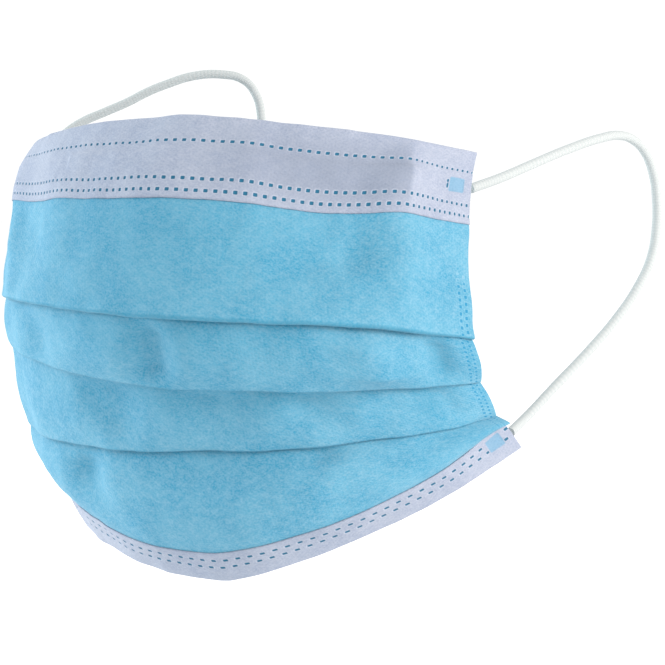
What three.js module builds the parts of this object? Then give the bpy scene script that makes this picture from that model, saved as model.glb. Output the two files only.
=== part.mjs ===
// A three-ply pleated face mask, opened out in the form that it takes when it is worn.
// Millimetres, +Z up. The mask faces -Y, and +X is to the right of somebody who looks at its front.
// The origin is the middle of the top edge, where the mask sits on the bridge of the nose.
import * as THREE from 'three';

// The cloth
const HALF_WIDTH = 87.5;
const WALL = 1.0;
const GAP = 0.3;

// The pleats: how deep the cloth is folded, and the step from one layer to the next
const FOLD_AT_SIDES = 9;
const FOLD_IN_MIDDLE = 3;
const LAYER = 1.4;

// The white bands, the nose wire in the top one, and the ear loops
const BAND_OFFSET = WALL + GAP;
const INNER_LEG = 8;
const WIRE = { from: -0.36, to: 0.78, down: 0.25, width: 3.5, thickness: 0.8 };
const POCKET = WIRE.thickness + GAP;
const CORD_DIAMETER = 2.7;
const CORD_SIDES = 8;
const CORD_STEPS = 80;
const CORD_CLEARANCE = 1.8;
const PAD_THICKNESS = 1.2;

// How finely the shapes are cut up
const COLUMNS = 28;
const RUN_STEPS = 60;

// Each row is a line that runs across the mask, from its top edge down to its bottom edge.
//   turn           degrees that the line has turned backwards at each end
//   roundness      1 turns evenly, less turns sooner, more turns later
//   frontY, midZ   where the middle of the line is
//   sideZ, sag     height of its ends, and how late the line bends away to it
//   shiftX, tilt   sideways shift of the line, and what it gains in height from middle to right end
//   bow            how far the cloth between this line and the next one bulges out
const ROWS = {
  topEdge: {
    turn: 61, roundness: 0.77, frontY: 0, midZ: 0,
    sideZ: -10.7, sag: 1.5, shiftX: 0, tilt: -3.7, bow: 0,
  },
  bandSeam: {
    turn: 62, roundness: 0.76, frontY: -14.5, midZ: -21.5,
    sideZ: -28, sag: 1.7, shiftX: 1, tilt: -6, bow: 0,
  },
  pleat1: {
    turn: 61, roundness: 0.78, frontY: -30, midZ: -49,
    sideZ: -54.5, sag: 2.7, shiftX: 5, tilt: -7.5, bow: 1,
  },
  pleat2: {
    turn: 64, roundness: 1, frontY: -19, midZ: -68.5,
    sideZ: -66, sag: 1.5, shiftX: 2.5, tilt: -8.3, bow: 1,
  },
  pleat3: {
    turn: 63, roundness: 1.05, frontY: -10, midZ: -86.5,
    sideZ: -85, sag: 2, shiftX: 3.6, tilt: 0, bow: 4,
  },
  bottomSeam: {
    turn: 67, roundness: 1.05, frontY: -6.4, midZ: -114.5,
    sideZ: -92, sag: 1.45, shiftX: 8, tilt: 5.3, bow: 0,
  },
  bottomEdge: {
    turn: 58, roundness: 0.76, frontY: 0, midZ: -123,
    sideZ: -104.4, sag: 1.27, shiftX: 8.7, tilt: 9, bow: 0,
  },
};
const ROW_LIST = Object.values(ROWS);

// The four stretches of cloth between the pleats: the row that each ends on, and where it has points.
// On the last one, 1 is the seam of the bottom band and 2 is the bottom edge.
const PANELS = [
  { endRow: 2, stations: [0, 0.1, 0.2, 0.3, 0.4, 0.5, 0.62, 0.74, 0.87, 1] },
  { endRow: 3, stations: [0, 0.25, 0.5, 0.75, 1] },
  { endRow: 4, stations: [0, 0.25, 0.5, 0.75, 1] },
  { endRow: 5, stations: [0, 0.17, 0.34, 0.5, 0.66, 0.83, 1, 1.5, 2] },
];

// Soft dents in the cloth.
//   panel, across, down   which stretch of cloth, and where on it
//   wide, tall            spread of the dent, as shares of the half width and of the stretch
//   depth                 how far the cloth is pushed in, or out where this is less than nothing
const DENTS = [
  { panel: 1, across: -0.02, down: 0.6, wide: 0.06, tall: 0.8, depth: 1.6 },
  { panel: 1, across: 0.86, down: 0.5, wide: 0.06, tall: 0.6, depth: 1.2 },
  { panel: 2, across: -0.2, down: 0.4, wide: 0.14, tall: 0.5, depth: 1.6 },
  { panel: 2, across: 0.12, down: 0.35, wide: 0.12, tall: 0.5, depth: 1.6 },
  { panel: 2, across: 0.42, down: 0.3, wide: 0.08, tall: 0.45, depth: 1.4 },
  { panel: 3, across: 0.4, down: 0.12, wide: 0.07, tall: 0.14, depth: 1.5 },
  { panel: 3, across: -0.42, down: 0.3, wide: 0.08, tall: 0.3, depth: 1.8 },
];

// The welded ends of the ear loops: the corner that each holds, on which stretch of cloth and how far
// down it, and how far behind the middle of the cloth the weld lies.
const PAD_LENGTH = 0.1;
const PAD_END = 1.004;
const PADS = {
  upper_left: { side: -1, panel: 0, down: 0.3, tall: 0.11, behind: WALL / 2 + GAP + PAD_THICKNESS / 2 },
  upper_right: { side: 1, panel: 0, down: 0.3, tall: 0.11, behind: WALL / 2 + GAP + PAD_THICKNESS / 2 },
  lower_left: { side: -1, panel: 3, down: 1.5, tall: 0.4, behind: WALL * 1.5 + 2 * GAP + PAD_THICKNESS / 2 },
  lower_right: { side: 1, panel: 3, down: 1.5, tall: 0.4, behind: WALL * 1.5 + 2 * GAP + PAD_THICKNESS / 2 },
};

// The ear loops run from the upper weld of their side to the lower one, through these points.
// The right one stands out behind its side edge, and the left one has fallen in behind the mask.
const LOOPS = {
  right: [
    [74.3, 50.8, -22.2], [81, 62, -19], [88, 74.4, -15.7], [95.4, 87.2, -13],
    [99.3, 94, -12.5], [102.4, 99.3, -13.9], [105, 103.7, -17.6], [106.8, 106.8, -24.2], [107.4, 107.8, -32.1],
    [107, 107.2, -41.3], [105.5, 104.7, -49.6], [102.1, 98.8, -57.8], [97.2, 90.3, -65.8], [90.9, 79.4, -73.8],
    [83.6, 66.5, -82], [77.8, 54.5, -88.8], [75.6, 47.5, -91.2], 
  ],
  left: [
    [-68, 46, -13.2], [-67.8, 51, -10], [-65.8, 55.3, -5.6], [-62, 58.7, -1.2], [-57.5, 61, 1.6],
    [-52.2, 63.3, 3.7], [-45, 66.3, 6.5], [-39, 68.7, 9.3], [-34, 70.7, 11.1], [-26.2, 74, 13.2], [-17.9, 77.5, 13.2],
    [-12.2, 80, 11.3], [-9, 81.3, 7], [-7.7, 81.8, 0], [-8.6, 81.5, -9], [-11.6, 80.4, -20], [-16.8, 78.4, -33],
    [-24, 75.5, -48], [-32.6, 72, -63], [-41.8, 68.2, -77], [-50, 64, -89], [-56.2, 59, -97.5], [-59.4, 53, -102.8],
    [-59.4, 47.5, -105.4], 
  ],
};

// A point on a row: u runs from -1 at the left side edge to 1 at the right one.
function rowPoint(row, u) {
  const share = Math.abs(u);
  const turn = THREE.MathUtils.degToRad(row.turn);
  const rise = row.sideZ - row.midZ;
  const step = share / RUN_STEPS;
  let across = 0;
  let back = 0;
  for (let i = 0; i < RUN_STEPS; i += 1) {
    const at = (i + 0.5) * step;
    const angle = turn * at ** row.roundness;
    const slope = (rise * row.sag * at ** (row.sag - 1)) / HALF_WIDTH;
    const run = Math.sqrt(1 - slope * slope) * step * HALF_WIDTH;
    across += Math.cos(angle) * run;
    back += Math.sin(angle) * run;
  }
  const z = row.midZ + rise * share ** row.sag + row.tilt * u;
  return new THREE.Vector3(row.shiftX + Math.sign(u) * across, row.frontY + back, z);
}

// Everything about one column of the cloth that the pieces need.
function columnAt(u) {
  const nudge = 0.01;
  const points = ROW_LIST.map((row) => rowPoint(row, u));
  const tangents = ROW_LIST.map((row) => rowPoint(row, u + nudge).sub(rowPoint(row, u - nudge)).normalize());
  return { u, points, tangents };
}

// The direction out of the cloth between two rows of a column.
function outwardBetween(column, upperRow, lowerRow) {
  const down = column.points[lowerRow].clone().sub(column.points[upperRow]);
  return down.cross(column.tangents[lowerRow]).normalize();
}

// A stretch of cloth starts two layers behind the pleat above it.
function panelStart(column, panel) {
  const row = PANELS[panel].endRow - 1;
  const outward = outwardBetween(column, row - 1, row);
  return column.points[row].clone().addScaledVector(outward, -2 * LAYER);
}

function dentDepth(panel, u, t) {
  const dents = DENTS.filter((dent) => dent.panel === panel);
  const depths = dents.map((dent) => {
    const spread = ((u - dent.across) / dent.wide) ** 2 + ((t - dent.down) / dent.tall) ** 2;
    return dent.depth * Math.exp(-spread);
  });
  return depths.reduce((sum, depth) => sum + depth, 0);
}

// A point of the cloth: t runs from 0 at the top of the stretch to 1 at its end.
function panelPoint(column, panel, t) {
  const rows = column.points;
  if (panel === 0) {
    const [top, seam, end] = rows;
    const v = 2 * t;
    const point = top.clone().multiplyScalar(((v - 1) * (v - 2)) / 2);
    point.addScaledVector(seam, -v * (v - 2));
    return point.addScaledVector(end, (v * (v - 1)) / 2);
  }
  const { endRow } = PANELS[panel];
  if (t > 1) {
    return rows[endRow].clone().lerp(rows[endRow + 1], t - 1);
  }
  const outward = outwardBetween(column, endRow - 1, endRow);
  const bulge = ROW_LIST[endRow - 1].bow * 4 * t * (1 - t);
  const swell = bulge - dentDepth(panel, column.u, t) * Math.min(1, 4 * (1 - t)) * Math.min(1, 4 * t);
  return panelStart(column, panel).lerp(rows[endRow], t).addScaledVector(outward, swell);
}

// The direction out of the cloth at a point of a stretch.
function panelOutward(column, panel, t) {
  const nudge = 0.02;
  const down = panelPoint(column, panel, t + nudge).sub(panelPoint(column, panel, Math.max(t - nudge, 0)));
  const row = Math.min(Math.round(panel === 0 ? 2 * t : PANELS[panel].endRow - 1 + t), 6);
  return down.cross(column.tangents[row]).normalize();
}

function offsetPoint(column, panel, t, offset) {
  return panelPoint(column, panel, t).addScaledVector(panelOutward(column, panel, t), offset);
}

function foldDepth(u) {
  return THREE.MathUtils.lerp(FOLD_IN_MIDDLE, FOLD_AT_SIDES, Math.abs(u) ** 1.5);
}

// Half a turn of the cloth, from a point to the point that lies `across` away from it.
function halfTurn(from, bulge, across, angles) {
  const radius = across.length() / 2;
  const centre = from.clone().addScaledVector(across, 0.5);
  return angles.map((degrees) => {
    const angle = THREE.MathUtils.degToRad(degrees);
    const point = centre.clone().addScaledVector(across, -0.5 * Math.cos(angle));
    return point.addScaledVector(bulge, radius * Math.sin(angle));
  });
}

// A pleat: the cloth turns at the crease, runs back up behind itself, and turns down again.
function pleat(column, panel) {
  const { endRow } = PANELS[panel];
  const crease = panelPoint(column, panel, 1);
  const inward = outwardBetween(column, endRow - 1, endRow).multiplyScalar(-LAYER);
  const length = column.points[endRow].distanceTo(column.points[endRow - 1]) * (panel === 0 ? 2 : 1);
  const top = 1 - foldDepth(column.u) / length;
  const layer = (t, count) => panelPoint(column, panel, t).addScaledVector(inward, count);
  const down = crease.clone().sub(layer(top, 0)).normalize();
  const half = (1 + top) / 2;
  return [
    ...halfTurn(crease, down, inward, [60, 120, 180]),
    layer(half, 1),
    layer(top, 1),
    ...halfTurn(layer(top, 1), down.clone().negate(), inward, [60, 120, 180]),
    layer(half, 2),
  ];
}

// One cut through the whole cloth from the top edge to the bottom edge.
function panelPath(u) {
  const column = columnAt(u);
  return PANELS.flatMap(({ stations }, panel) => {
    const visible = stations.map((t) => panelPoint(column, panel, t));
    return panel < PANELS.length - 1 ? [...visible, ...pleat(column, panel)] : visible;
  });
}

// One cut through a band: up behind the cloth, over its edge, and down in front of it.
function bandPath(column, panel, edge, innerEnd, front) {
  const outward = panelOutward(column, panel, edge);
  const inner = [innerEnd, (innerEnd + edge) / 2, edge];
  const behind = inner.map((t) => offsetPoint(column, panel, t, -BAND_OFFSET));
  const over = panelPoint(column, panel, edge).sub(panelPoint(column, panel, innerEnd)).normalize();
  const across = outward.clone().multiplyScalar(2 * BAND_OFFSET);
  const turn = halfTurn(behind[2], over, across, [45, 90, 135]);
  const before = front.map(({ t, pocket }) => offsetPoint(column, panel, t, BAND_OFFSET + pocket));
  return [...behind, ...turn, ...before];
}

function topBandPath(u) {
  const column = columnAt(u);
  const length = 2 * column.points[0].distanceTo(column.points[1]);
  const front = [
    { t: 0, pocket: 0 },
    { t: 0.1, pocket: POCKET * 0.6 },
    { t: 0.2, pocket: POCKET },
    { t: 0.3, pocket: POCKET },
    { t: 0.4, pocket: POCKET * 0.6 },
    { t: 0.5, pocket: 0 },
  ];
  return bandPath(column, 0, 0, INNER_LEG / length, front);
}

function bottomBandPath(u) {
  const column = columnAt(u);
  const front = [
    { t: 2, pocket: 0 },
    { t: 1.5, pocket: 0 },
    { t: 1.07, pocket: 2 * GAP },
  ];
  return bandPath(column, 3, 2, 1.25, front);
}

// A strip of cloth lying at an offset from a stretch, between two heights of it.
function stripPath(u, panel, from, to, offset) {
  const column = columnAt(u);
  return [from, (from + to) / 2, to].map((t) => offsetPoint(column, panel, t, offset));
}

function spread(from, to, count) {
  return Array.from({ length: count + 1 }, (_, i) => THREE.MathUtils.lerp(from, to, i / count));
}

// A closed wall of even thickness around a grid of points: grid[i] is one cut, and the cuts follow
// each other from left to right. The ring of one cut runs down its front and back up behind.
function wall(grid, thickness) {
  const last = grid[0].length - 1;
  const ring = 2 * (last + 1);
  const positions = [];
  grid.forEach((path, i) => {
    const before = grid[Math.max(i - 1, 0)];
    const after = grid[Math.min(i + 1, grid.length - 1)];
    const faces = path.map((point, j) => {
      const along = path[Math.min(j + 1, last)].clone().sub(path[Math.max(j - 1, 0)]);
      const normal = along.cross(after[j].clone().sub(before[j])).normalize();
      return { point, normal };
    });
    const front = faces.map(({ point, normal }) => point.clone().addScaledVector(normal, thickness / 2));
    const back = faces.map(({ point, normal }) => point.clone().addScaledVector(normal, -thickness / 2));
    [...front, ...back.reverse()].forEach((point) => positions.push(point.x, point.y, point.z));
  });
  const triangles = [];
  const quad = (a, b, c, d) => triangles.push(a, b, c, a, c, d);
  for (let i = 0; i < grid.length - 1; i += 1) {
    for (let j = 0; j < ring; j += 1) {
      const next = (j + 1) % ring;
      quad(i * ring + j, i * ring + next, (i + 1) * ring + next, (i + 1) * ring + j);
    }
  }
  const end = (grid.length - 1) * ring;
  for (let j = 0; j < last; j += 1) {
    const back = ring - 1 - j;
    quad(j, back, back - 1, j + 1);
    quad(end + j, end + j + 1, end + back - 1, end + back);
  }
  const geometry = new THREE.BufferGeometry();
  geometry.setAttribute('position', new THREE.Float32BufferAttribute(positions, 3));
  geometry.setIndex(triangles);
  return geometry;
}

function mesh(name, geometry, color, roughness, metalness = 0) {
  geometry.computeVertexNormals();
  const part = new THREE.Mesh(geometry, new THREE.MeshStandardMaterial({ color, roughness, metalness }));
  part.name = name;
  return part;
}

const BLUE = 0x7cc0e0;
const WHITE = 0xd8dfea;
const CORD_WHITE = 0xe8efee;
const STEEL = 0xb8bcc0;

const columns = spread(-1, 1, COLUMNS);
const mask = new THREE.Group();
mask.add(mesh('face_panel', wall(columns.map(panelPath), WALL), BLUE, 0.9));
mask.add(mesh('top_band', wall(columns.map(topBandPath), WALL), WHITE, 0.9));
mask.add(mesh('bottom_band', wall(columns.map(bottomBandPath), WALL), WHITE, 0.9));

// The nose wire
function wirePath(u) {
  const halfWidth = WIRE.width / 2 / (2 * ROWS.topEdge.midZ - 2 * ROWS.bandSeam.midZ);
  const offset = WALL / 2 + GAP + WIRE.thickness / 2;
  return stripPath(u, 0, WIRE.down - halfWidth, WIRE.down + halfWidth, offset);
}
const wireColumns = columns.filter((u) => u > WIRE.from && u < WIRE.to);
mask.add(mesh('nose_wire', wall(wireColumns.map(wirePath), WIRE.thickness), STEEL, 0.4, 0.8));

// The welded ends of the ear loops
function padPath(u, pad) {
  return stripPath(u, pad.panel, pad.down - pad.tall / 2, pad.down + pad.tall / 2, -pad.behind);
}
Object.entries(PADS).forEach(([corner, pad]) => {
  const far = pad.side * PAD_END;
  const near = pad.side * (PAD_END - PAD_LENGTH);
  const stations = spread(Math.min(near, far), Math.max(near, far), 2);
  const geometry = wall(stations.map((u) => padPath(u, pad)), PAD_THICKNESS);
  mask.add(mesh(`loop_weld_${corner}`, geometry, CORD_WHITE, 0.8));
});

// The ear loops, each a round cord between the ends of its two welds
function weldEnd(pad) {
  const middle = (u) => offsetPoint(columnAt(pad.side * u), pad.panel, pad.down, -pad.behind);
  const edge = middle(PAD_END);
  const outward = middle(PAD_END + PAD_LENGTH / 4).sub(edge).normalize();
  return [edge.clone().addScaledVector(outward, CORD_CLEARANCE)];
}

function cordSection() {
  const section = new THREE.Shape();
  for (let i = 0; i < CORD_SIDES; i += 1) {
    const angle = (2 * Math.PI * (i + 0.5)) / CORD_SIDES;
    const x = (CORD_DIAMETER / 2) * Math.cos(angle);
    const y = (CORD_DIAMETER / 2) * Math.sin(angle);
    if (i === 0) section.moveTo(x, y);
    else section.lineTo(x, y);
  }
  section.closePath();
  return section;
}

Object.entries(LOOPS).forEach(([side, route]) => {
  const upper = weldEnd(PADS[`upper_${side}`]);
  const lower = weldEnd(PADS[`lower_${side}`]).reverse();
  const between = route.map(([x, y, z]) => new THREE.Vector3(x, y, z));
  const curve = new THREE.CatmullRomCurve3([...upper, ...between, ...lower]);
  const settings = { steps: CORD_STEPS, extrudePath: curve };
  mask.add(mesh(`ear_loop_${side}`, new THREE.ExtrudeGeometry(cordSection(), settings), CORD_WHITE, 0.85));
});

export default mask;
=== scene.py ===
# %% [markdown]
# # A pleated face mask, opened out as it is worn
#
# The packed model is the fixed frame: it says where every piece is. This script dresses it in thin
# cloth, welds, elastic and light. Each `# %%` line starts a cell that can be run by itself, in order.

# %% Load the frame
import math
from functools import lru_cache

import bmesh
import bpy
from mathutils import Matrix, Vector, noise


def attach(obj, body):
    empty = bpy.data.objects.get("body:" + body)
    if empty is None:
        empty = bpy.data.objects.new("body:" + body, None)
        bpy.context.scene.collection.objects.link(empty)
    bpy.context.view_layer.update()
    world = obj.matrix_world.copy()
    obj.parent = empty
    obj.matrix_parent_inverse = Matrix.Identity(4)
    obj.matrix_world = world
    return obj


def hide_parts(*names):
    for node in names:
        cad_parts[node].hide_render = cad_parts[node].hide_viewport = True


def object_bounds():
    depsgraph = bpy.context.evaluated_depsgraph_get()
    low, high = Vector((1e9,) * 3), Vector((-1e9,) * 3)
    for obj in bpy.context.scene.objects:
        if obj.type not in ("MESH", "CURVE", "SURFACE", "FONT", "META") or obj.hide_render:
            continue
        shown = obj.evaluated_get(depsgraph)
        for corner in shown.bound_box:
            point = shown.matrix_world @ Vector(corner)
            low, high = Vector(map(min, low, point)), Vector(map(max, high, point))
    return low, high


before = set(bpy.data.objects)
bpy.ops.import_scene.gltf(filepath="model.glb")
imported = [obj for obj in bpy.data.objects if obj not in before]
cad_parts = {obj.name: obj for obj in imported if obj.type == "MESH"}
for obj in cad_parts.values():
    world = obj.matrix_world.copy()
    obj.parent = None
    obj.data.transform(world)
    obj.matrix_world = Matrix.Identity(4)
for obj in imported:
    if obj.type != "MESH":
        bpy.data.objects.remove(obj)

cad_box = [[float(v) for v in corner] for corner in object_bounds()]
print("CAD box in metres:", cad_box)

# %% [markdown]
# ## The camera
#
# The camera stands a little under half a metre away, to the right of somebody who faces the mask, and
# slightly above its middle. A long lens keeps the near cheek from growing. The small roll lets the mask
# sit level in the view though it is worn a little askew. A camera looks down its own -Z, so its three
# axes are built from the direction that it looks in and the direction that is up.

# %% Camera
CAMERA_AT = Vector((0.1886, -0.3957, -0.0130))
LOOKS_ALONG = Vector((-0.3451, 0.9296, -0.1056))
ROUGHLY_UP = Vector((0.0183, 0.1232, 0.9922))
LENS = 90.4

camera_data = bpy.data.cameras.new("camera")
camera_data.lens = LENS
camera = bpy.data.objects.new("camera", camera_data)
bpy.context.scene.collection.objects.link(camera)
back = -LOOKS_ALONG.normalized()
right = ROUGHLY_UP.cross(back).normalized()
up = back.cross(right)
camera.matrix_world = Matrix.Translation(CAMERA_AT) @ Matrix((right, up, back)).transposed().to_4x4()
bpy.context.scene.camera = camera
print("camera at", tuple(round(v, 3) for v in CAMERA_AT), "with a", LENS, "mm lens")

# %% [markdown]
# ## Ear loops
#
# Each loop is about 0.2 m of round knitted elastic, 2.7 mm thick, welded to the mask at both ends. A
# Bezier curve with automatic handles goes smoothly through points along the middle of the cord, and a
# bevel makes it round. The right loop stands out behind the mask. The left one has fallen in behind it,
# so that only its top shows over the white band. The curve is turned into a mesh, because that gives it
# a UV map, with one direction along the cord and one around it, and the knit follows those.

# %% Cord routes, in metres
CORD_DIAMETER = 0.0027
LOOP_ROUTES = {
    "right": [
        (0.0683, 0.0426, -0.0244), (0.0743, 0.0508, -0.0222), (0.0810, 0.0620, -0.0190),
        (0.0880, 0.0744, -0.0157), (0.0954, 0.0872, -0.0130), (0.0993, 0.0940, -0.0125),
        (0.1024, 0.0993, -0.0139), (0.1050, 0.1037, -0.0176), (0.1068, 0.1068, -0.0242),
        (0.1074, 0.1078, -0.0321), (0.1070, 0.1072, -0.0413), (0.1055, 0.1047, -0.0496),
        (0.1021, 0.0988, -0.0578), (0.0972, 0.0903, -0.0658), (0.0909, 0.0794, -0.0738),
        (0.0836, 0.0665, -0.0820), (0.0778, 0.0545, -0.0888), (0.0756, 0.0475, -0.0912),
        (0.0752, 0.0448, -0.0917),
    ],
    "left": [
        (-0.0674, 0.0430, -0.0142), (-0.0680, 0.0460, -0.0132), (-0.0678, 0.0510, -0.0100),
        (-0.0658, 0.0553, -0.0056), (-0.0620, 0.0587, -0.0012), (-0.0575, 0.0610, 0.0016),
        (-0.0522, 0.0633, 0.0037), (-0.0450, 0.0663, 0.0065), (-0.0390, 0.0687, 0.0093),
        (-0.0340, 0.0707, 0.0111), (-0.0262, 0.0740, 0.0132), (-0.0179, 0.0775, 0.0132),
        (-0.0122, 0.0800, 0.0113), (-0.0090, 0.0813, 0.0070), (-0.0077, 0.0818, 0.0),
        (-0.0086, 0.0815, -0.0090), (-0.0116, 0.0804, -0.0200), (-0.0168, 0.0784, -0.0330),
        (-0.0240, 0.0755, -0.0480), (-0.0326, 0.0720, -0.0630), (-0.0418, 0.0682, -0.0770),
        (-0.0500, 0.0640, -0.0890), (-0.0562, 0.0590, -0.0975), (-0.0594, 0.0530, -0.1028),
        (-0.0594, 0.0475, -0.1054), (-0.0588, 0.0448, -0.1059),
    ],
}


# %% Make a cord
def length_of(points):
    return sum((Vector(b) - Vector(a)).length for a, b in zip(points, points[1:]))


def make_cord(name, route):
    curve = bpy.data.curves.new(name, "CURVE")
    curve.dimensions = "3D"
    curve.bevel_depth = CORD_DIAMETER / 2
    curve.bevel_resolution = 4
    curve.resolution_u = 8
    curve.use_fill_caps = True
    spline = curve.splines.new("BEZIER")
    spline.bezier_points.add(len(route) - 1)
    for point, place in zip(spline.bezier_points, route):
        point.co = place
        point.handle_left_type = point.handle_right_type = "AUTO"
    drawn = bpy.data.objects.new(name + "_curve", curve)
    bpy.context.scene.collection.objects.link(drawn)
    bpy.context.view_layer.update()
    mesh = bpy.data.meshes.new_from_object(drawn.evaluated_get(bpy.context.evaluated_depsgraph_get()))
    bpy.data.objects.remove(drawn)
    for face in mesh.polygons:
        face.use_smooth = True
    cord = bpy.data.objects.new(name, mesh)
    bpy.context.scene.collection.objects.link(cord)
    print(name, "length", round(length_of(route), 4), "m, UV maps", [layer.name for layer in mesh.uv_layers])
    return cord


cords = {}
for side, route in LOOP_ROUTES.items():
    cord = make_cord(f"elastic_loop_{side}", route)
    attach(cord, "root")
    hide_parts(f"ear_loop_{side}")
    cords[side] = cord

# %% [markdown]
# ## The lines that shape the cloth
#
# The cloth is worked out from seven lines that run across the mask: its two edges, the seams of the two
# white bands, and the creases of the three pleats. Each line starts in the middle of the face and turns
# backwards towards both sides, as cloth does around a face. `turn` is how many degrees it has turned at
# its end, and `roundness` says whether it turns early or late. The other columns say where the line is
# in front and how far its ends are lifted. `bow` is how far the cloth below the line bulges out.

# %% Lines across the mask, in metres
HALF_WIDTH = 0.0875
ROWS = {
    "top_edge": dict(turn=61, roundness=0.77, front=0, mid=-0.001, side=-0.0117, sag=1.5, shift=0,
                     tilt=-0.0037, bow=0),
    "band_seam": dict(turn=62, roundness=0.76, front=-0.0145, mid=-0.0215, side=-0.028, sag=1.7, shift=0.001,
                      tilt=-0.006, bow=0),
    "pleat_1": dict(turn=61, roundness=0.78, front=-0.03, mid=-0.049, side=-0.0545, sag=2.7, shift=0.005,
                    tilt=-0.0075, bow=0.001),
    "pleat_2": dict(turn=64, roundness=1, front=-0.019, mid=-0.0685, side=-0.066, sag=1.5, shift=0.0025,
                    tilt=-0.0083, bow=0.001),
    "pleat_3": dict(turn=63, roundness=1.05, front=-0.01, mid=-0.0865, side=-0.085, sag=2,
                    shift=0.0036, tilt=0, bow=0.004),
    "bottom_seam": dict(turn=67, roundness=1.05, front=-0.0064, mid=-0.1145, side=-0.092, sag=1.45,
                        shift=0.008, tilt=0.0053, bow=0),
    "bottom_edge": dict(turn=58, roundness=0.76, front=0, mid=-0.123, side=-0.1044, sag=1.27,
                        shift=0.0087, tilt=0.009, bow=0),
}
ROW_LIST = list(ROWS.values())
RUN_STEPS = 40


def row_point(row, u):
    """A point on a line: u runs from -1 at the left side edge to 1 at the right one."""
    rise = row["side"] - row["mid"]
    step = abs(u) / RUN_STEPS
    across = 0.0
    backwards = 0.0
    for i in range(RUN_STEPS):
        at = (i + 0.5) * step
        angle = math.radians(row["turn"]) * at ** row["roundness"]
        slope = rise * row["sag"] * at ** (row["sag"] - 1) / HALF_WIDTH
        run = math.sqrt(1 - slope * slope) * step * HALF_WIDTH
        across += math.cos(angle) * run
        backwards += math.sin(angle) * run
    z = row["mid"] + rise * abs(u) ** row["sag"] + row["tilt"] * u
    return Vector((row["shift"] + math.copysign(across, u), row["front"] + backwards, z))


print("the top edge runs from", row_point(ROW_LIST[0], -1), "to", row_point(ROW_LIST[0], 1))

# %% [markdown]
# ## Cloth between the lines
#
# Real cloth of this kind is under half a millimetre thick, thinner than the solid that stands for it in
# the model. A column is one cut from the top edge to the bottom edge. Four stretches of cloth hang
# between its lines, and each stretch below a pleat starts two layers behind the crease above it. Small
# soft dents push it in here and there, and a slow noise keeps it from looking like pressed metal.

# %% One column of cloth
CLOTH = 0.00045
LAYER_IN_MIDDLE = 0.0014
LAYER_AT_SIDES = 0.00055
END_ROWS = (2, 3, 4, 5)
WRINKLES = ((45, 0.0009), (110, 0.0005), (260, 0.00014))


def smooth(low, high, value):
    share = min(max((value - low) / (high - low), 0), 1)
    return share * share * (3 - 2 * share)


def mix(a, b, share):
    return a + (b - a) * share


class Column:
    """The lines of one cut, the stretches between them, and the directions out of the cloth."""

    def __init__(self, u):
        nudge = 0.01
        self.u = u
        self.rows = [row_point(row, u) for row in ROW_LIST]
        self.tangents = [
            (row_point(row, u + nudge) - row_point(row, u - nudge)).normalized() for row in ROW_LIST
        ]
        self.out = [Vector()] + [
            (lower - upper).cross(tangent).normalized()
            for upper, lower, tangent in zip(self.rows, self.rows[1:], self.tangents[1:])
        ]
        self.layer = mix(LAYER_IN_MIDDLE, LAYER_AT_SIDES, smooth(0.75, 0.97, abs(u)))


@lru_cache(maxsize=None)
def column_at(u):
    return Column(u)


print("one layer at the side edge:", round(column_at(1.0).layer, 5), "m")


# %% Dents
# panel and down say where a dent is on its stretch of cloth, across where along it; wide and tall are
# its spread as shares of half the width and of the stretch; depth is how far the cloth is pushed in.
DENT_STRENGTH = 1.7
DENTS = [
    dict(panel=0, across=-0.62, down=0.75, wide=0.16, tall=0.3, depth=0.0012),
    dict(panel=0, across=0.62, down=0.7, wide=0.2, tall=0.25, depth=0.001),
    dict(panel=0, across=0.74, down=0.5, wide=0.1, tall=0.9, depth=-0.0016),
    dict(panel=0, across=0.5, down=0.6, wide=0.16, tall=0.7, depth=0.001),
    dict(panel=0, across=-0.76, down=0.6, wide=0.09, tall=0.7, depth=-0.001),
    dict(panel=1, across=0.63, down=0.5, wide=0.1, tall=0.9, depth=-0.0016),
    dict(panel=1, across=-0.02, down=0.6, wide=0.05, tall=0.8, depth=0.0018),
    dict(panel=1, across=0.1, down=0.4, wide=0.06, tall=0.6, depth=-0.0008),
    dict(panel=1, across=0.86, down=0.45, wide=0.05, tall=0.5, depth=0.0014),
    dict(panel=1, across=-0.5, down=0.5, wide=0.1, tall=0.5, depth=0.0009),
    dict(panel=2, across=-0.2, down=0.4, wide=0.12, tall=0.5, depth=0.0018),
    dict(panel=2, across=0.12, down=0.35, wide=0.11, tall=0.5, depth=0.0018),
    dict(panel=2, across=0.42, down=0.3, wide=0.08, tall=0.45, depth=0.0014),
    dict(panel=2, across=0.84, down=0.4, wide=0.05, tall=0.5, depth=0.001),
    dict(panel=3, across=0.4, down=0.12, wide=0.06, tall=0.12, depth=0.0016),
    dict(panel=3, across=-0.42, down=0.3, wide=0.07, tall=0.3, depth=0.002),
    dict(panel=3, across=0.05, down=0.3, wide=0.2, tall=0.18, depth=0.0012),
    dict(panel=3, across=0.72, down=0.4, wide=0.12, tall=0.3, depth=0.0012),
]


def dent_depth(panel, u, t):
    total = 0.0
    for dent in DENTS:
        if dent["panel"] == panel:
            spread = ((u - dent["across"]) / dent["wide"]) ** 2 + ((t - dent["down"]) / dent["tall"]) ** 2
            total += dent["depth"] * math.exp(-spread)
    return DENT_STRENGTH * total * min(1, 4 * t) * min(1, 4 * (1 - t))


def wrinkle(point):
    return sum(depth * noise.noise(point * scale) for scale, depth in WRINKLES)


print(len(DENTS), "dents, the first", round(dent_depth(0, -0.62, 0.75), 4), "m deep")


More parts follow.
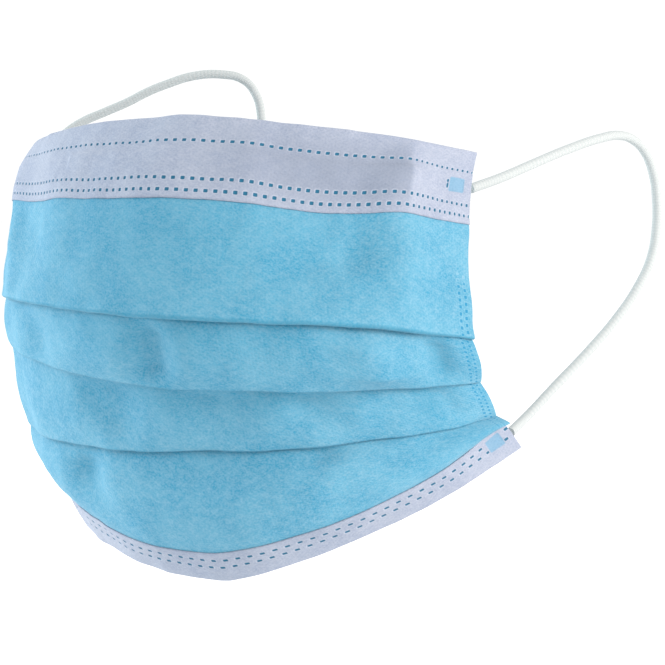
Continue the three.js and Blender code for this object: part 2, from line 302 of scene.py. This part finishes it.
# %% A point of the cloth
def panel_point(column, panel, t):
    """t runs from 0 at the top of a stretch to 1 at its end, and to 2 under the bottom band."""
    rows = column.rows
    if panel == 0:
        v = 2 * t
        point = rows[0] * ((v - 1) * (v - 2) / 2) - rows[1] * (v * (v - 2)) + rows[2] * (v * (v - 1) / 2)
        return point + column.out[1] * (wrinkle(point) - dent_depth(0, column.u, t))
    end = END_ROWS[panel]
    if t > 1:
        point = rows[end].lerp(rows[end + 1], t - 1)
        return point + column.out[end] * wrinkle(point)
    start = rows[end - 1] - column.out[end - 1] * (2 * column.layer)
    point = start.lerp(rows[end], t)
    swell = ROW_LIST[end - 1]["bow"] * 4 * t * (1 - t) - dent_depth(panel, column.u, t)
    return point + column.out[end] * (swell + wrinkle(point))


def panel_out(column, panel, t):
    nudge = 0.02
    down = panel_point(column, panel, t + nudge) - panel_point(column, panel, max(t - nudge, 0))
    row = min(round(2 * t if panel == 0 else END_ROWS[panel] - 1 + t), 6)
    return down.cross(column.tangents[row]).normalized()


def offset_point(column, panel, t, offset):
    return panel_point(column, panel, t) + panel_out(column, panel, t) * offset


middle = column_at(0.0)
print("middle of the first crease:", panel_point(middle, 0, 1))

# %% [markdown]
# ## Pleats
#
# At a pleat the cloth turns at the crease, runs back up behind itself, turns again and comes down. The
# side seams hold it shut 9 mm deep, and over the nose and mouth it has been pulled almost flat. Each
# half turn is a few points on a small half circle.

# %% One cut through the whole cloth
FOLD_AT_SIDES = 0.009
FOLD_IN_MIDDLE = 0.003
STATIONS = (
    [i / 58 for i in range(59)],
    [i / 24 for i in range(25)],
    [i / 20 for i in range(21)],
    [i / 40 for i in range(41)] + [1.2, 1.4, 1.6, 1.8, 2.0],
)
TURN_ANGLES = (36, 72, 108, 144, 180)


def half_turn(start, bulge, across, angles):
    centre = start + across / 2
    radius = across.length / 2
    return [
        centre - across / 2 * math.cos(math.radians(angle)) + bulge * (radius * math.sin(math.radians(angle)))
        for angle in angles
    ]


def pleat(column, panel):
    end = END_ROWS[panel]
    inward = column.out[end] * -column.layer
    length = (column.rows[end] - column.rows[end - 1]).length * (2 if panel == 0 else 1)
    top = 1 - mix(FOLD_IN_MIDDLE, FOLD_AT_SIDES, abs(column.u) ** 1.5) / length
    crease = panel_point(column, panel, 1)
    down = (crease - panel_point(column, panel, top)).normalized()
    heights = [mix(1, top, share) for share in (0.25, 0.5, 0.75, 1)]
    behind = [panel_point(column, panel, t) + inward for t in heights]
    again = [panel_point(column, panel, t) + inward * 2 for t in heights[2::-1]]
    turned_down = half_turn(crease, down, inward, TURN_ANGLES)
    return [*turned_down, *behind, *half_turn(behind[-1], -down, inward, TURN_ANGLES), *again]


def cloth_path(column):
    path = []
    for panel, stations in enumerate(STATIONS):
        path += [panel_point(column, panel, t) for t in stations]
        if panel < 3:
            path += pleat(column, panel)
    return path


print("points in one cut:", len(cloth_path(middle)))

# %% [markdown]
# ## From a flat sheet to a worn one
#
# Cloth is made flat, so it is modelled flat: `create_grid` gives a sheet, each of its points is moved to
# its place on the face, and the flat sheet stays behind as the UV map. A pattern on that map follows
# every fold. A Solidify modifier then gives the sheet its thickness, and a second material for its back.

# %% Sheet maker
def make_sheet(name, us, paths, marks=None, shades=None, thickness=CLOTH):
    """us are the places across, with a list of points, of weld depths and of painted shade for each."""
    rows = len(paths[0])
    mesh = bpy.data.meshes.new(name)
    bm = bmesh.new()
    weld = bm.verts.layers.float.new("weld")
    tone = bm.verts.layers.float.new("tone")
    uv = bm.loops.layers.uv.new("flat cloth")
    grid = bmesh.ops.create_grid(bm, x_segments=len(us) - 1, y_segments=rows - 1, size=0.5)
    lengths = [0.0]
    spine = paths[len(paths) // 2]
    for a, b in zip(spine, spine[1:]):
        lengths.append(lengths[-1] + (b - a).length)
    flat = {}
    for vert in grid["verts"]:
        i = round((vert.co.x + 0.5) * (len(us) - 1))
        j = round((0.5 - vert.co.y) * (rows - 1))
        flat[vert] = (us[i] * HALF_WIDTH, -lengths[j])
        vert[weld] = marks[i][j] if marks else 0.0
        vert[tone] = shades[i][j] if shades else 0.0
        vert.co = paths[i][j]
    for face in bm.faces:
        face.smooth = True
        for loop in face.loops:
            loop[uv].uv = flat[loop.vert]
    bmesh.ops.recalc_face_normals(bm, faces=bm.faces)
    bm.normal_update()
    front = min(bm.faces, key=lambda face: face.calc_center_median().y)
    if front.normal.y > 0:
        bmesh.ops.reverse_faces(bm, faces=bm.faces)
    bm.to_mesh(mesh)
    bm.free()
    sheet = bpy.data.objects.new(name, mesh)
    bpy.context.scene.collection.objects.link(sheet)
    solid = sheet.modifiers.new("thickness", "SOLIDIFY")
    solid.thickness = thickness
    solid.offset = 0
    solid.material_offset = 1
    solid.material_offset_rim = 0
    print(name, len(mesh.polygons), "faces, flat height", round(lengths[-1], 4), "m")
    return sheet


def spread(low, high, count):
    return [mix(low, high, i / count) for i in range(count + 1)]


# %% [markdown]
# ## Welds
#
# Nothing on this mask is sewn. Hot wheels with small teeth press the layers together, and every tooth
# leaves a square pit where the cloth has melted and the blue shows through. A tooth is a smooth function
# of the distance from its middle, and a row of teeth repeats it. On the bands the same function pushes
# the cloth in and is stored on each point, so that the finish can colour the pit exactly where it is.
# The points of the blue cloth stand too far apart for that, so its finish draws the small side welds.

# %% Teeth
COARSE_PITCH = 0.00247
LEFT_PITCH = 0.00224
RIGHT_PITCH = 0.0018
COARSE_ZONE = (0.0, 0.76 * HALF_WIDTH)
PIT = 0.00022


def tooth(x, y, wide, tall):
    """1 in the middle of a tooth mark and 0 outside it, with soft rounded corners."""
    return (1 - smooth(0.5, 1.35, 2 * abs(x) / wide)) * (1 - smooth(0.5, 1.35, 2 * abs(y) / tall))


def row_of_teeth(x, y, pitch, wide, tall, phase=0.0):
    within = (x / pitch + phase) % 1 - 0.5
    return tooth(within * pitch, y, wide, tall)


print("wide teeth run over", round(COARSE_ZONE[1] - COARSE_ZONE[0], 4), "m of the top band")


# %% [markdown]
# ## The blue cloth
#
# The main sheet is one piece from edge to edge. Its columns stand closer together near the side edges.
# Two more things are stored on its points. One says where two columns of small welds hold the pleats
# shut, most of them on the middle panels. The other is painted shade: it darkens the cloth just below
# each pleat, inside the folds, in its soft hollows and over the middle of the first panel.

# %% Blue cloth
SIDE_ZONE = 0.92
# Painted shade: spots where the cloth is darkened below the pleats, in its hollows and over the middle of the
# first panel.
PAINTED_SHADE_SPOTS = [
    dict(panel=1, across=-0.02, down=0.05, wide=0.6, tall=0.55, depth=0.55),
    dict(panel=1, across=0.86, down=0.5, wide=0.04, tall=0.45, depth=0.6),
    dict(panel=2, across=0.1, down=0.1, wide=0.55, tall=0.4, depth=0.5),
    dict(panel=2, across=0.78, down=0.35, wide=0.05, tall=0.4, depth=0.55),
    dict(panel=3, across=0.2, down=0.02, wide=0.5, tall=0.14, depth=0.5),
    dict(panel=3, across=-0.4, down=0.3, wide=0.05, tall=0.22, depth=0.5),
    dict(panel=0, across=0.1, down=0.55, wide=0.62, tall=0.75, depth=0.4),
]
PANEL_WELD = (0.0, 1.0, 1.0, 0.6)
FOLDED_POINTS = len(pleat(middle, 0))


# The painted shade of a point: the strongest of the spots on its stretch of cloth.
def tone_at(panel, u, t):
    tone = 0.0
    for spot in PAINTED_SHADE_SPOTS:
        if spot["panel"] == panel:
            far = (abs(u - spot["across"]) / spot["wide"]) ** 4 + (abs(t - spot["down"]) / spot["tall"]) ** 2
            tone = max(tone, spot["depth"] * math.exp(-far))
    return tone


def weld_zone(panel, t):
    """How strongly the side welds show: they fade out at the top of the first panel."""
    return max(PANEL_WELD[panel], smooth(0.72, 0.85, t)) if panel == 0 else PANEL_WELD[panel]


def cloth_marks(column):
    marks = []
    tones = []
    for panel, stations in enumerate(STATIONS):
        at_side = smooth(SIDE_ZONE - 0.01, SIDE_ZONE + 0.01, abs(column.u))
        marks += [at_side * weld_zone(panel, t) if t <= 1 else 0.0 for t in stations]
        # Painted shade for each point of this stretch.
        tones += [tone_at(panel, column.u, t) for t in stations]
        if panel < 3:
            marks += [0.0] * FOLDED_POINTS
            # The cloth folded inside each pleat gets full painted shade.
            tones += [1.0] * FOLDED_POINTS
    return marks, tones


dense = spread(SIDE_ZONE, 1, 14)
cloth_us = [-u for u in reversed(dense)] + spread(-SIDE_ZONE, SIDE_ZONE, 172)[1:-1] + dense
cloth_paths = [cloth_path(column_at(u)) for u in cloth_us]
side_marks, tones = zip(*(cloth_marks(column_at(u)) for u in cloth_us))
assert len(side_marks[0]) == len(cloth_paths[0])
blue_cloth = make_sheet("blue_cloth", cloth_us, cloth_paths, side_marks, tones)
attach(blue_cloth, "root")
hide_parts("face_panel")

# %% [markdown]
# ## The white bands
#
# A band is a white strip folded over the edge of the mask. It goes up behind the cloth, turns over the
# edge and comes down in front. The nose wire lies in the top one, between two rows of welds, and lifts
# the cloth into a low ridge. The bands are cut finer than the blue cloth, so that every weld is a real
# pit in them.

# %% Cut through a band
BAND_GAP = 0.00042
BAND_TURN = (30, 60, 90, 120, 150)
WIRE = dict(start=-0.36, end=0.78, down=0.27, width=0.0035, thickness=0.0004)


def band_path(column, panel, edge, inner_end, front, marks, lift):
    """Points of a band and its weld marks; front are the places down its front, marks their welds."""
    inner = spread(inner_end, edge, 6)
    behind = [offset_point(column, panel, t, -BAND_GAP) for t in inner]
    over = (panel_point(column, panel, edge) - panel_point(column, panel, inner_end)).normalized()
    across = panel_out(column, panel, edge) * (2 * BAND_GAP)
    turned = half_turn(behind[-1], over, across, BAND_TURN)
    outer = [
        offset_point(column, panel, t, BAND_GAP + lift(column.u, t) - abs(mark) * PIT)
        for t, mark in zip(front, marks)
    ]
    return behind + turned + outer, [0.0] * (len(behind) + len(turned)) + marks


def bands(us, panel, edge, inner_end, front, mark, lift):
    paths = []
    marks = []
    for u in us:
        column = column_at(u)
        welds = [mark(u * HALF_WIDTH, t) for t in front]
        path, stored = band_path(column, panel, edge, inner_end, front, welds, lift)
        paths.append(path)
        marks.append(stored)
    return paths, marks


print("the wire's strip is", round((WIRE["end"] - WIRE["start"]) * HALF_WIDTH, 4), "m long")


# %% Top band
BAND_HEIGHT = 0.0258
TOP_ROWS = (0.165, 0.39, 0.455)
ROW_REACH = 0.002
COARSE_TOOTH = (0.00125, 0.00115)
FINE_TOOTH_SHARE = 0.45
FINE_TOOTH_HEIGHT = 0.0011
SOFT_EDGE = 0.0008
WIRE_SLACK = 0.0001
LOOP_PATCH = dict(middle=0.0822, wide=0.006, down=0.27, tall=0.0056)


def patch_edge(x, y):
    """The dashed mark that the cord's weld leaves on the front: short dashes along its inner edge."""
    from_dashes = abs(x) - (LOOP_PATCH["middle"] - LOOP_PATCH["wide"] / 2)
    if abs(y) > 0.0016:
        return 0.0
    return row_of_teeth(y, from_dashes + 0.0002, 0.0016, 0.0011, 0.0008)


def top_weld(x, t):
    coarse = smooth(-0.0004, 0.0004, min(x - COARSE_ZONE[0], COARSE_ZONE[1] - x))
    strength = 0.0
    for number, place in enumerate(TOP_ROWS):
        y = (t - place) * 2 * BAND_HEIGHT
        if abs(y) > ROW_REACH:
            continue
        phase = 0.5 * (number % 2)
        big = row_of_teeth(x, y, COARSE_PITCH, *COARSE_TOOTH, phase)
        pitch = LEFT_PITCH if x < 0 else RIGHT_PITCH
        small = row_of_teeth(x, y, pitch, FINE_TOOTH_SHARE * pitch, FINE_TOOTH_HEIGHT, phase)
        strength = max(strength, mix(small, big, coarse))
    y = (t - LOOP_PATCH["down"]) * 2 * BAND_HEIGHT
    strength = max(strength, patch_edge(x, y))
    inside = smooth(0, SOFT_EDGE, LOOP_PATCH["wide"] / 2 - abs(abs(x) - LOOP_PATCH["middle"]))
    return strength or -inside * smooth(0, SOFT_EDGE, LOOP_PATCH["tall"] / 2 - abs(y))


def wire_lift(u, t):
    """How far the wire lifts the cloth: nothing away from the strip, and less towards its ends."""
    left = smooth(WIRE["start"] - 0.015, WIRE["start"] + 0.01, u)
    right = 1 - smooth(WIRE["end"] - 0.01, WIRE["end"] + 0.015, u)
    across = abs(t - WIRE["down"]) * 2 * BAND_HEIGHT
    ridge = 1 - smooth(WIRE["width"] / 2, WIRE["width"], across)
    return left * right * (WIRE["thickness"] + WIRE_SLACK) * ridge


def rows_near(places, step, count, evenly):
    """Places down a band: evenly spaced ones, and a close bundle of them across each row of welds."""
    close = [place + step * i for place in places for i in range(-count, count + 1)]
    far = [t for t in evenly if min(abs(t - place) for place in places) > step * (count + 0.5)]
    return sorted(close + far)


top_us = spread(-1, 1, 640)
top_front = rows_near(TOP_ROWS, 0.0042, 4, spread(0, 0.5, 34))
paths, marks = bands(top_us, 0, 0, 0.15, top_front, top_weld, wire_lift)


# Painted shade on the top band: darker over the wire, growing from the middle of the mask and ending just
# short of the wire's right end.
def painted_shade_over_wire(u, t):
    along = smooth(0.0, 0.45, u) * (1 - smooth(0.745, 0.765, u))
    return along * smooth(-0.1, 0.25, t) * (1 - smooth(0.34, 0.56, t))


behind_rows = len(paths[0]) - len(top_front)
# Only the front of the band gets painted shade.
shades = [[0.0] * behind_rows + [painted_shade_over_wire(u, t) for t in top_front] for u in top_us]
top_band = make_sheet("white_band_top", top_us, paths, marks, shades, thickness=0.0003)
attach(top_band, "root")
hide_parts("top_band")

# %% Bottom band
BOTTOM_HEIGHT = 0.0118
BOTTOM_ROWS = (1.27, 1.52)
BOTTOM_PITCH = 0.0034
BOTTOM_TOOTH = (0.0016, 0.0011)
BOTTOM_DEPTH = 0.85
BOTTOM_PATCH = dict(middle=0.0815, half_width=0.003, down=1.4, half_height=0.0028)


def bottom_weld(x, t):
    strength = 0.0
    for number, place in enumerate(BOTTOM_ROWS):
        y = (t - place) * BOTTOM_HEIGHT
        teeth = row_of_teeth(x, y, BOTTOM_PITCH, *BOTTOM_TOOTH, 0.5 * number)
        strength = max(strength, BOTTOM_DEPTH * teeth)
    y = (t - BOTTOM_PATCH["down"]) * BOTTOM_HEIGHT
    inside = smooth(0, SOFT_EDGE, BOTTOM_PATCH["half_width"] - abs(abs(x) - BOTTOM_PATCH["middle"]))
    inside *= smooth(0, SOFT_EDGE, BOTTOM_PATCH["half_height"] - abs(y))
    return -inside if inside > 0.1 else strength


bottom_us = spread(-1, 1, 560)
bottom_front = rows_near(BOTTOM_ROWS, 0.018, 4, spread(1.0, 2.0, 18))[::-1]
paths, marks = bands(bottom_us, 3, 2, 1.3, bottom_front, bottom_weld, lambda u, t: 0.0)
bottom_band = make_sheet("white_band_bottom", bottom_us, paths, marks, thickness=0.0003)
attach(bottom_band, "root")
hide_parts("bottom_band")

# %% [markdown]
# ## Nose wire and the welded ends of the loops
#
# The wire is a soft flat strip inside the top band, bent to the nose. Each end of an ear loop is pressed
# flat and welded to the inside of the mask, so it is a thin pad as wide as the squashed cord. Both start
# as small flat grids and lie down on the cloth as it does.

# %% Nose wire
def strip_paths(us, panel, heights, offset):
    return [[offset_point(column_at(u), panel, t, offset) for t in heights] for u in us]


half = WIRE["width"] / 4 / BAND_HEIGHT
wire_us = spread(WIRE["start"], WIRE["end"], 90)
wire_paths = strip_paths(wire_us, 0, spread(WIRE["down"] - half, WIRE["down"] + half, 6), BAND_GAP)
nose_strip = make_sheet("nose_strip", wire_us, wire_paths, thickness=WIRE["thickness"])
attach(nose_strip, "root")
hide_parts("nose_wire")

# %% Welded cord ends
TOP_SCALE = 1 / (2 * BAND_HEIGHT)
BOTTOM_SCALE = 1 / BOTTOM_HEIGHT
PADS = {
    "upper_left": dict(side=-1, panel=0, down=0.3, tall=0.0048, per_metre=TOP_SCALE, behind=0.0011),
    "upper_right": dict(side=1, panel=0, down=0.3, tall=0.0048, per_metre=TOP_SCALE, behind=0.0011),
    "lower_left": dict(side=-1, panel=3, down=1.5, tall=0.0048, per_metre=BOTTOM_SCALE, behind=0.0016),
    "lower_right": dict(side=1, panel=3, down=1.5, tall=0.0048, per_metre=BOTTOM_SCALE, behind=0.0016),
}
PAD_START = 0.905
PAD_END = 1.01
PAD_WAFFLE = 0.0012
weld_pads = []
for corner, pad in PADS.items():
    us = sorted(pad["side"] * u for u in spread(PAD_START, PAD_END, 40))
    paths = []
    for u in us:
        along = abs(u)
        narrow = mix(0.75, 1, smooth(PAD_START, 0.93, along)) * mix(1, 0.6, smooth(0.985, PAD_END, along))
        heights = spread(pad["down"] - narrow * pad["tall"] / 2 * pad["per_metre"],
                         pad["down"] + narrow * pad["tall"] / 2 * pad["per_metre"], 20)
        path = []
        for t in heights:
            x = u * HALF_WIDTH
            y = (t - pad["down"]) / pad["per_metre"]
            pit = tooth((x / PAD_WAFFLE) % 1 - 0.5, (y / PAD_WAFFLE) % 1 - 0.5, 0.6, 0.6)
            path.append(offset_point(column_at(u), pad["panel"], t, -pad["behind"] + 0.00025 * pit))
        paths.append(path)
    piece = make_sheet(f"cord_weld_{corner}", us, paths, thickness=0.0007)
    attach(piece, "root")
    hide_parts(f"loop_weld_{corner}")
    weld_pads.append(piece)

# %% [markdown]
# ## Finishes
#
# The cloth is spunbond: fine fibres laid at random and bonded at small points, so it is cloudy, a little
# fuzzy, and matte. The cloth's finishes read its flat UV map, in metres, and the cord's finish reads the
# map that runs along and around the cord. A few helper functions keep the node trees short.

# %% Node helpers
# A Mix node has one set of sockets for each kind of data. These are its share and the ones for colours.
MIX_SHARE, MIX_FIRST, MIX_SECOND, MIX_RESULT = 0, 6, 7, 2


class Finish:
    """A material and short ways to add its nodes."""

    def __init__(self, name, roughness, sheen=0.0):
        self.material = bpy.data.materials.new(name)
        self.material.use_nodes = True
        self.tree = self.material.node_tree
        self.shader = self.tree.nodes["Principled BSDF"]
        self.shader.inputs["Roughness"].default_value = roughness
        self.shader.inputs["Sheen Weight"].default_value = sheen
        self.shader.inputs["Sheen Roughness"].default_value = 0.5
        self.shader.inputs["Specular IOR Level"].default_value = 0.2
        self.map = self.add("ShaderNodeTexCoord").outputs["UV"]

    def add(self, kind, **settings):
        node = self.tree.nodes.new(kind)
        for key, value in settings.items():
            setattr(node, key, value)
        return node

    def link(self, source, target):
        if isinstance(source, (int, float)):
            target.default_value = source
        elif isinstance(source, tuple):
            target.default_value = (*source, 1)[: len(target.default_value)]
        else:
            self.tree.links.new(source, target)

    def math(self, operation, a, b=0.0):
        node = self.add("ShaderNodeMath", operation=operation)
        self.link(a, node.inputs[0])
        self.link(b, node.inputs[1])
        return node.outputs[0]

    def scaled(self, x, y, turn=0.0):
        node = self.add("ShaderNodeMapping")
        self.link(self.map, node.inputs["Vector"])
        node.inputs["Rotation"].default_value = (0, 0, math.radians(turn))
        node.inputs["Scale"].default_value = (x, y, 1)
        return node.outputs[0]

    def noise(self, vector, scale=1.0, detail=3.0, rough=0.55):
        node = self.add("ShaderNodeTexNoise")
        self.link(vector, node.inputs["Vector"])
        node.inputs["Scale"].default_value = scale
        node.inputs["Detail"].default_value = detail
        node.inputs["Roughness"].default_value = rough
        return node.outputs["Fac"]

    def range(self, value, low, high, to_low=0.0, to_high=1.0):
        node = self.add("ShaderNodeMapRange", interpolation_type="SMOOTHSTEP")
        for number, item in enumerate((value, low, high, to_low, to_high)):
            self.link(item, node.inputs[number])
        return node.outputs[0]

    def mix(self, share, a, b):
        node = self.add("ShaderNodeMix", data_type="RGBA")
        self.link(share, node.inputs[MIX_SHARE])
        self.link(a, node.inputs[MIX_FIRST])
        self.link(b, node.inputs[MIX_SECOND])
        return node.outputs[MIX_RESULT]

    def attribute(self, name):
        return self.add("ShaderNodeAttribute", attribute_name=name).outputs["Fac"]

    def colour(self, value):
        self.link(value, self.shader.inputs["Base Color"])

    def bump(self, height, distance, strength=1.0):
        node = self.add("ShaderNodeBump")
        node.inputs["Strength"].default_value = strength
        node.inputs["Distance"].default_value = distance
        self.link(height, node.inputs["Height"])
        self.link(node.outputs[0], self.shader.inputs["Normal"])


print("a finish can use:", [name for name in vars(Finish) if not name.startswith("_")])


# %% Spunbond cloth
PATCH_COLOUR = (0.07, 0.25, 0.39)
DOT_COLUMNS = ((0.0021, 0.0), (0.0041, 0.5))
DOT_PITCH = 0.0019
WHOLE_PITCHES = 200


def spunbond(name, deep, plain, pale, weld_colour, cloud_range, tone_colour, tone_strength, dots=None):
    """Cloudy bonded fibres: deep where the web is thick, pale where fibres stand up."""
    finish = Finish(name, roughness=0.9, sheen=0.08)
    clouds = finish.noise(finish.scaled(75, 60, 25), 1, 4, 0.55)
    flecks = finish.noise(finish.scaled(520, 620, 20), 1, 3)
    grain = finish.noise(finish.scaled(1700, 1900, 10), 1, 2)
    fibres = finish.noise(finish.scaled(900, 4200, 35), 1, 2)
    crossed = finish.noise(finish.scaled(4200, 900, 35), 1, 2)
    points = finish.add("ShaderNodeTexVoronoi", voronoi_dimensions="2D", feature="F1")
    finish.link(finish.scaled(780, 1100, 45), points.inputs["Vector"])
    points.inputs["Scale"].default_value = 1
    points.inputs["Randomness"].default_value = 0.12
    bonds = finish.range(points.outputs["Distance"], 0.16, 0.34, 1.0, 0.0)
    cloudy = finish.range(clouds, *cloud_range)
    base = finish.mix(cloudy, deep, plain)
    base = finish.mix(finish.range(flecks, 0.35, 0.75, 0.0, 0.35), base, pale)
    base = finish.mix(finish.range(grain, 0.3, 0.7, 0.0, 0.4), base, pale)
    base = finish.mix(finish.math("MULTIPLY", bonds, 0.16), base, deep)
    # Painted shade: the stored shade pulls the colour towards a darker shade colour.
    base = finish.mix(finish.math("MULTIPLY", finish.attribute("tone"), tone_strength), base, tone_colour)
    weld = dots(finish) if dots else finish.attribute("weld")
    patch = finish.range(finish.math("MULTIPLY", weld, -1.0), 0.2, 0.6)
    base = finish.mix(finish.math("MULTIPLY", patch, 0.6), base, PATCH_COLOUR)
    # Painted highlight: a pale ring round each weld, where light catches the raised edge of its pit.
    painted_rim_highlight = finish.math("MULTIPLY", finish.range(weld, 0.01, 0.12), finish.range(weld, 0.2, 0.45, 0.55, 0.0))
    base = finish.mix(painted_rim_highlight, base, pale)
    finish.colour(finish.mix(finish.range(weld, 0.3, 0.7), base, weld_colour))
    web = finish.math("ADD", fibres, crossed)
    height = finish.math("SUBTRACT", web, bonds)
    finish.bump(height, 0.00006, 0.6)
    return finish.material


def side_dots(finish):
    """Two columns of small dots beside each side edge, drawn on the flat cloth.

    The cloth hangs below zero on its map, and some whole pitches more bring it above zero.
    """
    split = finish.add("ShaderNodeSeparateXYZ")
    finish.link(finish.map, split.inputs[0])
    from_edge = finish.math("SUBTRACT", HALF_WIDTH, finish.math("ABSOLUTE", split.outputs[0]))
    found = []
    for place, phase in DOT_COLUMNS:
        off = finish.math("ABSOLUTE", finish.math("SUBTRACT", from_edge, place))
        down = finish.math("DIVIDE", split.outputs[1], DOT_PITCH)
        along = finish.math("ADD", down, phase + WHOLE_PITCHES)
        near = finish.math("ABSOLUTE", finish.math("SUBTRACT", finish.math("FRACT", along), 0.5))
        wide = finish.range(off, 0.0003, 0.0006, 1.0, 0.0)
        tall = finish.range(near, 0.16, 0.32, 1.0, 0.0)
        found.append(finish.math("MULTIPLY", wide, tall))
    return finish.math("MULTIPLY", finish.math("MAXIMUM", *found), finish.attribute("weld"))


# In each call, the last colour and the number after it are the painted shade's colour and strength.
blue = spunbond("blue spunbond", (0.022, 0.205, 0.335), (0.065, 0.26, 0.385), (0.2, 0.36, 0.46),
                (0.02, 0.19, 0.33), (0.34, 0.66), (0.02, 0.17, 0.27), 0.55, side_dots)
white = spunbond("white spunbond", (0.19, 0.24, 0.33), (0.23, 0.28, 0.365), (0.33, 0.375, 0.45),
                 (0.012, 0.1, 0.18), (0.35, 0.65), (0.15, 0.19, 0.255), 0.6)
inside = spunbond("white lining", (0.38, 0.43, 0.49), (0.43, 0.47, 0.53), (0.52, 0.56, 0.6),
                  (0.3, 0.4, 0.47), (0.35, 0.65), (0.33, 0.37, 0.43), 0.5)
for piece, front in ((blue_cloth, blue), (top_band, white), (bottom_band, white)):
    piece.data.materials.append(front)
    piece.data.materials.append(inside)
print("finishes on the cloth:", blue.name, white.name, inside.name)


# %% Elastic and wire
def knitted_elastic():
    finish = Finish("knitted elastic", roughness=0.85, sheen=0.05)
    ribs = finish.add("ShaderNodeTexWave", wave_type="BANDS", bands_direction="X")
    finish.link(finish.scaled(60, 6, 0), ribs.inputs["Vector"])
    ribs.inputs["Scale"].default_value = 1
    ribs.inputs["Distortion"].default_value = 1.5
    fuzz = finish.noise(finish.scaled(300, 30), 1, 2)
    shade = finish.math("MULTIPLY", ribs.outputs["Fac"], 0.3)
    finish.colour(finish.mix(shade, (0.38, 0.43, 0.44), (0.26, 0.33, 0.345)))
    finish.bump(finish.math("ADD", ribs.outputs["Fac"], fuzz), 0.00005, 0.35)
    return finish.material


def soft_metal():
    finish = Finish("soft metal strip", roughness=0.45)
    finish.shader.inputs["Metallic"].default_value = 1.0
    grain = finish.noise(finish.scaled(300, 6000), 1, 3)
    finish.colour(finish.mix(grain, (0.5, 0.51, 0.53), (0.66, 0.67, 0.69)))
    finish.bump(grain, 0.00002, 0.4)
    return finish.material


elastic = knitted_elastic()
metal = soft_metal()
for piece in (*cords.values(), *weld_pads):
    piece.data.materials.append(elastic)
for piece in weld_pads:
    piece.data.materials.append(elastic)
nose_strip.data.materials.append(metal)
nose_strip.data.materials.append(metal)
print("finishes on the cords and the wire:", elastic.name, metal.name)

# %% [markdown]
# ## Floor and light
#
# A worn mask hangs on a nose, so here it hangs over a plain white floor. Two large soft lights stand at
# its sides, because the sides of the cloth are paler than its front, and the pale world fills the rest.

# %% Floor
FLOOR_BELOW = 0.09
floor_mesh = bpy.data.meshes.new("floor")
bm = bmesh.new()
bmesh.ops.create_grid(bm, x_segments=1, y_segments=1, size=6)
bmesh.ops.translate(bm, verts=bm.verts, vec=(0, 0, cad_box[0][2] - FLOOR_BELOW))
bm.to_mesh(floor_mesh)
bm.free()
floor = bpy.data.objects.new("floor", floor_mesh)
bpy.context.scene.collection.objects.link(floor)
floor_finish = bpy.data.materials.new("floor paint")
floor_finish.use_nodes = True
floor_finish.node_tree.nodes["Principled BSDF"].inputs["Base Color"].default_value = (0.95, 0.95, 0.95, 1)
floor_finish.node_tree.nodes["Principled BSDF"].inputs["Roughness"].default_value = 0.9
floor_mesh.materials.append(floor_finish)
print("the floor lies", FLOOR_BELOW, "m below the mask")


# %% Lights
def soft_light(name, place, size, power, colour=(1, 1, 1)):
    data = bpy.data.lights.new(name, "AREA")
    data.size = size
    data.energy = power
    data.color = colour
    light = bpy.data.objects.new(name, data)
    aim = Vector((0, 0.01, -0.06)) - Vector(place)
    light.location = place
    light.rotation_euler = aim.to_track_quat("-Z", "Y").to_euler()
    bpy.context.scene.collection.objects.link(light)


soft_light("left window", (-1.3, -0.15, 0.35), 0.8, 21)
soft_light("right window", (1.4, -0.2, 0.45), 0.8, 28, (1, 0.84, 0.77))

world = bpy.data.worlds.new("pale room")
world.use_nodes = True
world.node_tree.nodes["Background"].inputs["Color"].default_value = (1, 1, 1, 1)
world.node_tree.nodes["Background"].inputs["Strength"].default_value = 1.06
bpy.context.scene.world = world
bpy.context.scene.view_settings.view_transform = "Standard"
print("lights:", [light.name for light in bpy.data.lights])

# %% Update the scene
bpy.context.view_layer.update()
